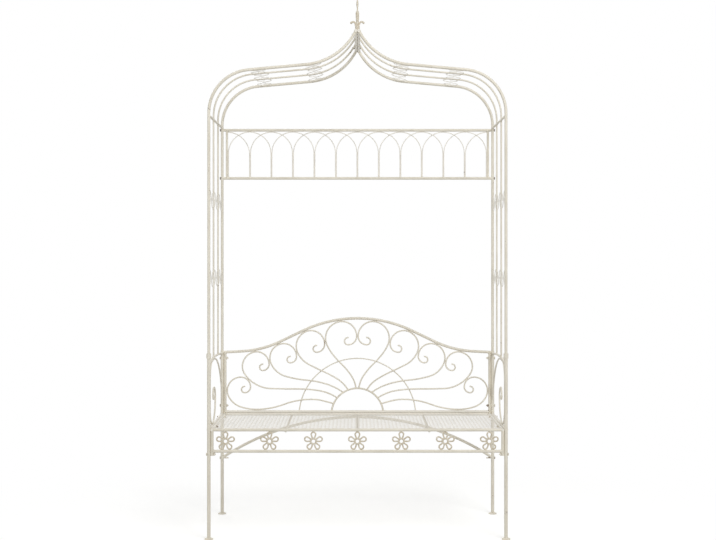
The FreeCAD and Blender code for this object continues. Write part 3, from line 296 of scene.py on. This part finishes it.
def end_tree(graph, shape, material, smooth=True):
    """Realize, shade, paint and hand out the shape."""
    real = graph.node("GeometryNodeRealizeInstances", None, {"Geometry": shape})
    shaded = graph.node("GeometryNodeSetShadeSmooth", None, {0: real, "Shade Smooth": smooth})
    painted = graph.node("GeometryNodeSetMaterial", None, {"Geometry": shaded, "Material": material})
    graph.node("NodeGroupOutput", None, {0: painted})


def grown(name, points, edges, tree, sizes, attributes=None):
    """A plain mesh object made by a tree, at the sizes given, from points and edges."""
    seed = bpy.data.meshes.new(name + "_seed")
    seed.from_pydata(points, edges, [])
    for label, (kind, values) in (attributes or {}).items():
        layer = seed.attributes.new(label, kind, "POINT")
        field = "vector" if kind == "FLOAT_VECTOR" else "value"
        layer.data.foreach_set(field, np.ravel(values).astype(np.float32))
    piece = new_object(name, seed)
    modifier = piece.modifiers.new(name, "NODES")
    modifier.node_group = tree
    for socket in tree.interface.items_tree:
        if socket.name in sizes:
            modifier[socket.identifier] = sizes[socket.name]
    evaluated = piece.evaluated_get(bpy.context.evaluated_depsgraph_get())
    mesh = bpy.data.meshes.new_from_object(evaluated)
    mesh.name = name
    piece.modifiers.remove(modifier)
    piece.data = mesh
    return piece


# Expanded metal of the seat: its diamonds, the bonds between them, its strands, and the room they leave at a nut
DIAMOND_LENGTH = 0.031
STRAND_PITCH = 0.0086
BOND = 0.006
STRAND_LAP = 0.6
STRAND_SIZES = {"Width": 0.0028, "Thickness": 0.0008, "Tilt": math.radians(-12)}
NUT_ROOM = 0.011
NUT_CLEARANCE = 0.003
BORDER_POINTS_ACROSS = 60
BORDER_POINTS_ALONG = 120


def strand_lines():
    """Points and edges of the slit and stretched strands, and of a border that stops at the nuts."""
    low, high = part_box("seat_mesh")
    level = (low.z + high.z) / 2
    width = STRAND_SIZES["Width"]
    half_x = high.x - width
    half_y = high.y - width
    nuts = node_points("frame_nuts")
    near = (np.abs(nuts[:, 2] - level) < NUT_ROOM) & (nuts[:, 0] > 0)
    nut_y = np.unique(np.round(nuts[near, 1], 3))
    nut_x = nuts[near, 0].min() - NUT_CLEARANCE
    points = []
    edges = []

    def strand(places):
        """A run of points, broken where the nuts are."""
        start = len(points)
        for x, y in places:
            blocked = abs(x) > nut_x and np.abs(nut_y - y).min() < NUT_ROOM / 2
            if blocked:
                edges.extend((index, index + 1) for index in range(start, len(points) - 1))
                start = len(points)
            else:
                points.append((x, y, level))
        edges.extend((index, index + 1) for index in range(start, len(points) - 1))

    rows = math.floor(2 * half_y / STRAND_PITCH)
    step = DIAMOND_LENGTH / 2
    count = math.floor(half_x / step)
    swing = (STRAND_PITCH - width * STRAND_LAP) / 2
    for row in range(rows):
        y = (row - (rows - 1) / 2) * STRAND_PITCH
        bends = []
        for bend in range(-count, count + 1):
            side = swing if (bend + row) % 2 else -swing
            bends += [(bend * step - BOND / 2, y + side), (bend * step + BOND / 2, y + side)]
        inner = [place for place in bends if abs(place[0]) < half_x]
        strand([(-half_x, bends[0][1]), *inner, (half_x, bends[-1][1])])
    for side in (-1, 1):
        strand([(x, side * half_y) for x in np.linspace(-half_x, half_x, BORDER_POINTS_ACROSS)])
        strand([(side * half_x, y) for y in np.linspace(-half_y, half_y, BORDER_POINTS_ALONG)])
    return points, edges


def expanded_metal():
    """Flat strands, swept along their lines."""
    tree, graph, given = tree_with("strands", STRAND_SIZES)
    curve = graph.node("GeometryNodeMeshToCurve", None, {"Mesh": given["Geometry"]})
    tilted = graph.node("GeometryNodeSetCurveTilt", None, {"Curve": curve, "Tilt": given["Tilt"]})
    profile = graph.node("GeometryNodeCurvePrimitiveQuadrilateral", None,
                         {"Width": given["Width"], "Height": given["Thickness"]})
    strands = graph.node("GeometryNodeCurveToMesh", None,
                         {"Curve": tilted, "Profile Curve": profile, "Fill Caps": True})
    end_tree(graph, strands, mesh_paint, smooth=False)
    return grown("seat_expanded_metal", *strand_lines(), tree, STRAND_SIZES)


seat_metal = expanded_metal()
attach(seat_metal, "root")
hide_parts("seat_mesh")

# Contact: the spacing of samples on a node's edges, what counts as touching, and how far apart one joint's points lie
SAMPLE_STEP = 0.0009
TOUCH = 0.0006
LINK = 0.0022
LEAST_POINTS = 4

# A seam goes round a patch of contact that is this wide and not much longer than wide, and a spot on any other
SEAM_WIDTH = 0.0011
SEAM_LONGEST = 2.2
SEAM_POINTS = 20
SEAM_BASE = 0.0004
SEAM_SHARE = 0.15
SPOT_BASE = 0.0011
SPOT_SHARE = 0.12
SPOT_MOST = 0.0022
SPOT_STRETCH = 2.1
BEAD_SIZES = {"Ripple": 0.45, "Ripple Scale": 420.0}

# The nodes that are welded to each other, by region of the bench
WELDED = {
    "side": [
        ("foot_pads", "{end}_{side}_leg"), ("{side}_side_rail", "{end}_{side}_leg"),
        ("{side}_arm_rail", "{end}_{side}_leg"), ("{side}_arm_scroll", "rear_{side}_leg"),
        ("{side}_arm_scroll", "{side}_arm_rail"), ("{side}_arm_scroll", "{side}_side_rail"),
    ],
    "seat": [
        ("seat_{end}_rail", "seat_{side}_rail"), ("seat_cross_bars", "seat_{end}_rail"),
        ("apron_{side}_end_bar", "seat_{side}_rail"), ("apron_{side}_end_bar", "seat_front_rail"),
        ("apron_lower_rail", "apron_{side}_end_bar"), ("apron_flower_petals", "apron_flower_rings"),
        ("apron_flower_petals", "seat_front_rail"), ("apron_flower_petals", "apron_lower_rail"),
    ],
    "back": [
        ("back_{side}_stile", "back_top_rail"), ("back_bottom_rail", "back_{side}_stile"),
        ("back_sun_inner_arc", "back_bottom_rail"), ("back_sun_outer_arc", "back_bottom_rail"),
        ("back_scroll_pair_{number}", "back_sun_inner_arc"), ("back_scroll_pair_{number}", "back_sun_outer_arc"),
        ("back_scroll_pair_{number}", "back_top_rail"), ("back_scroll_pair_{number}", "back_scroll_pair_{next}"),
        ("back_scroll_pair_1", "back_bottom_rail"), ("back_scroll_pair_1", "back_{side}_stile"),
    ],
    "trellis": [
        ("{side}_eave_bar", "{end}_{side}_upright"), ("{side}_trellis_rods", "{side}_arm_rail"),
        ("{side}_trellis_rods", "{side}_eave_bar"), ("{side}_trellis_scrolls", "{side}_trellis_rods"),
        ("{side}_trellis_scrolls", "{end}_{side}_upright"),
    ],
    "roof": [
        ("{end}_{side}_roof_tube", "ridge_bars"), ("{side}_roof_rods", "ridge_bars"),
        ("{side}_roof_rods", "{side}_eave_bar"), ("{side}_roof_scrolls", "{side}_roof_rods"),
        ("{side}_roof_scrolls", "{end}_{side}_roof_tube"), ("finial", "ridge_bars"),
    ],
    "lattice": [
        ("lattice_end_bars", "lattice_top_rail"), ("lattice_end_bars", "lattice_bottom_rail"),
        ("lattice_arches", "lattice_top_rail"), ("lattice_arches", "lattice_bottom_rail"),
        ("lattice_arches", "lattice_end_bars"),
    ],
}


def node_pairs(pattern):
    """The pairs of frame nodes that a pair of name patterns stands for, each once."""
    pairs = []
    for side in ("left", "right"):
        for end in ("front", "rear"):
            for number in range(1, 6):
                words = {"side": side, "end": end, "number": number, "next": number + 1}
                pair = tuple(word.format(**words) for word in pattern)
                if pair not in pairs and all(name in nodes for name in pair):
                    pairs.append(pair)
    return pairs


@functools.cache
def touch_tree(name):
    """Search tree of a frame node's surface."""
    return BVHTree.FromObject(nodes[name], bpy.context.evaluated_depsgraph_get())


def edge_samples(name, low, high):
    """Points along the edges of a frame node inside a box."""
    points = node_points(name)
    mesh_edges = nodes[name].data.edges
    ends = np.empty(len(mesh_edges) * 2, dtype=np.int64)
    mesh_edges.foreach_get("vertices", ends)
    first, last = points[ends[0::2]], points[ends[1::2]]
    crossing = ((np.maximum(first, last) >= low) & (np.minimum(first, last) <= high)).all(axis=1)
    first, last = first[crossing], last[crossing]
    counts = np.ceil(np.linalg.norm(last - first, axis=1) / SAMPLE_STEP).astype(int) + 1
    line = np.repeat(np.arange(len(first)), counts)
    place = np.arange(counts.sum()) - np.repeat(np.cumsum(counts) - counts, counts)
    share = (place / np.maximum(counts[line] - 1, 1))[:, None]
    samples = first[line] * (1 - share) + last[line] * share
    inside = ((samples >= low) & (samples <= high)).all(axis=1)
    return np.unique(np.round(samples[inside], 4), axis=0)


def touching_points(one, other):
    """Points on the edges of two frame nodes, each within touch of the other node."""
    one_low, one_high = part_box(one)
    other_low, other_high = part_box(other)
    low = np.maximum(one_low, other_low) - TOUCH
    high = np.minimum(one_high, other_high) + TOUCH
    if (low > high).any():
        return []
    touching = []
    for name, against in ((one, other), (other, one)):
        tree = touch_tree(against)
        touching += [point for point in edge_samples(name, low, high) if tree.find_nearest(point, TOUCH)[0]]
    return touching


def contact_patches(one, other):
    """Groups of points where two frame nodes touch."""
    touching = touching_points(one, other)
    near = KDTree(len(touching))
    for index, point in enumerate(touching):
        near.insert(point, index)
    near.balance()
    patches = []
    waiting = set(range(len(touching)))
    while waiting:
        patch = [waiting.pop()]
        for index in patch:
            linked = {found for _, found, _ in near.find_range(touching[index], LINK)} & waiting
            waiting -= linked
            patch += sorted(linked)
        patches.append(np.array([touching[index] for index in patch]))
    return [patch for patch in patches if len(patch) >= LEAST_POINTS]


def seam_round(patch, centre, across, up, out):
    """A closed line round the edge of a patch, and its mean radius."""
    flat = (patch - centre) @ np.stack([across, up, out], axis=1)
    radius = np.hypot(flat[:, 0], flat[:, 1])
    turn = np.arctan2(flat[:, 1], flat[:, 0]) / (2 * math.pi)
    sector = np.floor(turn * SEAM_POINTS).astype(int) % SEAM_POINTS
    turns = []
    rims = []
    for index in range(SEAM_POINTS):
        members = np.flatnonzero(sector == index)
        if len(members):
            outer = members[radius[members].argmax()]
            turns.append((index + 0.5) / SEAM_POINTS)
            rims.append((radius[outer], flat[outer, 2]))
    rims = np.array(rims)
    places = (np.arange(SEAM_POINTS) + 0.5) / SEAM_POINTS
    reach = np.interp(places, turns, rims[:, 0], period=1.0)
    rise = np.interp(places, turns, rims[:, 1], period=1.0)
    angle = places * 2 * math.pi
    ring = np.outer(reach * np.cos(angle), across) + np.outer(reach * np.sin(angle), up)
    return centre + ring + np.outer(rise, out), reach.mean()


def weld_tree():
    """Seams swept along closed lines, and round spots on loose points."""
    tree, graph, given = tree_with("weld_beads", BEAD_SIZES)
    shape = given["Geometry"]
    size = graph.node("GeometryNodeInputNamedAttribute", {"data_type": "FLOAT"}, {"Name": "size"})
    along = graph.node("GeometryNodeInputNamedAttribute", {"data_type": "FLOAT_VECTOR"}, {"Name": "along"})
    stretch = graph.node("GeometryNodeInputNamedAttribute", {"data_type": "FLOAT"}, {"Name": "stretch"})
    ripple = graph.noise(graph.node("GeometryNodeInputPosition"), given["Ripple Scale"])
    thick = size * (1.0 + (ripple - 0.5) * given["Ripple"] * 2.0)
    profile = graph.node("GeometryNodeCurvePrimitiveCircle", None, {"Resolution": 8, "Radius": 1.0})
    line = graph.node("GeometryNodeMeshToCurve", None, {"Mesh": shape})
    seams = graph.node("GeometryNodeCurveToMesh", None, {"Curve": line, "Profile Curve": profile, "Scale": thick})
    ball = graph.node("GeometryNodeMeshIcoSphere", None, {"Radius": 1.0, "Subdivisions": 2})
    turn = graph.node("FunctionNodeAlignRotationToVector", {"axis": "X"}, {"Vector": along})
    scale = graph.node("ShaderNodeCombineXYZ", None, {"X": thick * stretch, "Y": thick, "Z": thick})
    spots = graph.node("GeometryNodeInstanceOnPoints", None,
                       {"Points": shape, "Selection": stretch, "Instance": ball, "Rotation": turn, "Scale": scale})
    joined = graph.node("GeometryNodeJoinGeometry", None, {0: [spots, seams]})
    end_tree(graph, joined, bead_paint)
    return tree


def joints(region):
    """The patches of contact at the welded joints of a region."""
    for pattern in WELDED[region]:
        for one, other in node_pairs(pattern):
            yield from contact_patches(one, other)


def weld_beads(region, tree):
    """One piece with every bead of a region: seams round butt joints, and spots where rods touch side by side."""
    points, edges, size, along, stretch = [], [], [], [], []
    for patch in joints(region):
        centre = patch.mean(axis=0)
        spread, axes = np.linalg.eigh(np.cov((patch - centre).T))
        out, up, across = axes.T
        length, width = 2 * np.sqrt(np.maximum(spread[[2, 1]], 0.0))
        if width > SEAM_WIDTH and length < SEAM_LONGEST * width:
            line, radius = seam_round(patch, centre, across, up, out)
            start = len(points)
            points += line.tolist()
            edges += [(start + index, start + (index + 1) % SEAM_POINTS) for index in range(SEAM_POINTS)]
            size += [SEAM_BASE + SEAM_SHARE * radius] * SEAM_POINTS
            along += [(1.0, 0.0, 0.0)] * SEAM_POINTS
            stretch += [0.0] * SEAM_POINTS
        else:
            points.append(centre.tolist())
            size.append(min(SPOT_BASE + SPOT_SHARE * length, SPOT_MOST))
            along.append(across.tolist())
            stretch.append(SPOT_STRETCH)
    attributes = {"size": ("FLOAT", size), "along": ("FLOAT_VECTOR", along), "stretch": ("FLOAT", stretch)}
    beads = grown(f"{region}_weld_beads", points, edges, tree, BEAD_SIZES, attributes)
    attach(beads, "root")


bead_tree = weld_tree()
for region in WELDED:
    weld_beads(region, bead_tree)

# Camera, in front of the front legs; the last four values are in pixels of the photograph's frame
CAMERA_DISTANCE = 4.85
CAMERA_HEIGHT = 1.145
FRONT_LEGS = -0.24
SENSOR_WIDTH = 36.0
FOCAL_PIXELS = 1203.0
IMAGE_WIDTH = 716.0
HORIZON_RISE = 14.7
CENTRE_LEFT = 0.6

# Studio: light from all round, the floor's glow where it is seen, and where the floor fades into the background
LIGHT_ROUND = 0.46
FLOOR_GLOW = 0.43
FLOOR_HALF = 30.0
FADE_FROM = 0.7
FADE_TO = 1.9

# Each soft box: its place, the point it faces and its power
LAMP_SIZE = 2.4
LAMPS = {
    "key": ((2.4, -4.2, 4.8), (0.0, 0.0, 1.4), 156.0),
    "fill": ((-3.2, -4.2, 2.4), (0.0, 0.0, 1.2), 40.0),
    "back": ((-1.8, 4.8, 3.8), (0.0, 0.0, 1.2), 62.0),
}


def add_camera():
    """A level camera straight in front, its view shifted down as in the photograph."""
    data = bpy.data.cameras.new("camera")
    data.sensor_width = SENSOR_WIDTH
    data.lens = FOCAL_PIXELS / IMAGE_WIDTH * SENSOR_WIDTH
    data.shift_x = CENTRE_LEFT / IMAGE_WIDTH
    data.shift_y = -HORIZON_RISE / IMAGE_WIDTH
    camera = new_object("camera", data)
    camera.location = (0.0, FRONT_LEGS - CAMERA_DISTANCE, CAMERA_HEIGHT)
    camera.rotation_euler = (math.radians(90), 0.0, 0.0)
    bpy.context.scene.camera = camera


def add_lamp(name, place, target, power):
    """A square soft box that faces a point."""
    data = bpy.data.lights.new(name, "AREA")
    data.shape = "SQUARE"
    data.size = LAMP_SIZE
    data.energy = power
    lamp = new_object(name, data)
    lamp.location = place
    lamp.rotation_euler = (Vector(target) - Vector(place)).to_track_quat("-Z", "Y").to_euler()


def seen_directly(graph):
    """1 for what the camera, a reflection or a clear surface shows, and 0 for light that falls on things."""
    kinds = ("Is Camera Ray", "Is Glossy Ray", "Is Transmission Ray")
    camera, reflection, clear = (graph.node("ShaderNodeLightPath", out=kind) for kind in kinds)
    return camera.most(reflection).most(clear)


def add_world():
    """White where it is seen, softer as a light."""
    world = bpy.data.worlds.new("studio")
    bpy.context.scene.world = world
    graph = empty_graph(world)
    strength = LIGHT_ROUND + (1.0 - LIGHT_ROUND) * seen_directly(graph)
    light = graph.node("ShaderNodeBackground", None, {"Color": WHITE, "Strength": strength})
    graph.node("ShaderNodeOutputWorld", None, {"Surface": light})


def add_floor():
    """A pale floor that keeps the shadow of the bench and fades into the white background."""
    mesh = bpy.data.meshes.new("floor")
    corners = [(x * FLOOR_HALF, y * FLOOR_HALF, 0.0) for x, y in ((-1, -1), (1, -1), (1, 1), (-1, 1))]
    mesh.from_pydata(corners, [], [(0, 1, 2, 3)])
    floor = new_object("floor", mesh)
    material, graph = new_material("white_floor")
    away = graph.node("ShaderNodeVectorMath", {"operation": "LENGTH"}, {0: graph.place()}, "Value")
    seen = seen_directly(graph)
    pale = graph.node("ShaderNodeBsdfPrincipled", None, {
        "Base Color": FLOOR_WHITE, "Roughness": 0.9, "Specular IOR Level": 0.0,
        "Emission Color": WHITE, "Emission Strength": FLOOR_GLOW * seen})
    white = graph.node("ShaderNodeEmission", None, {"Color": WHITE, "Strength": 1.0})
    faded = seen * away.rise(FADE_FROM, FADE_TO)
    surface = graph.node("ShaderNodeMixShader", None, {0: faded, 1: pale, 2: white})
    graph.node("ShaderNodeOutputMaterial", None, {"Surface": surface})
    mesh.materials.append(material)


add_camera()
add_world()
add_floor()
for name, (place, target, power) in LAMPS.items():
    add_lamp(name, place, target, power)
bpy.context.scene.view_settings.view_transform = "Standard"
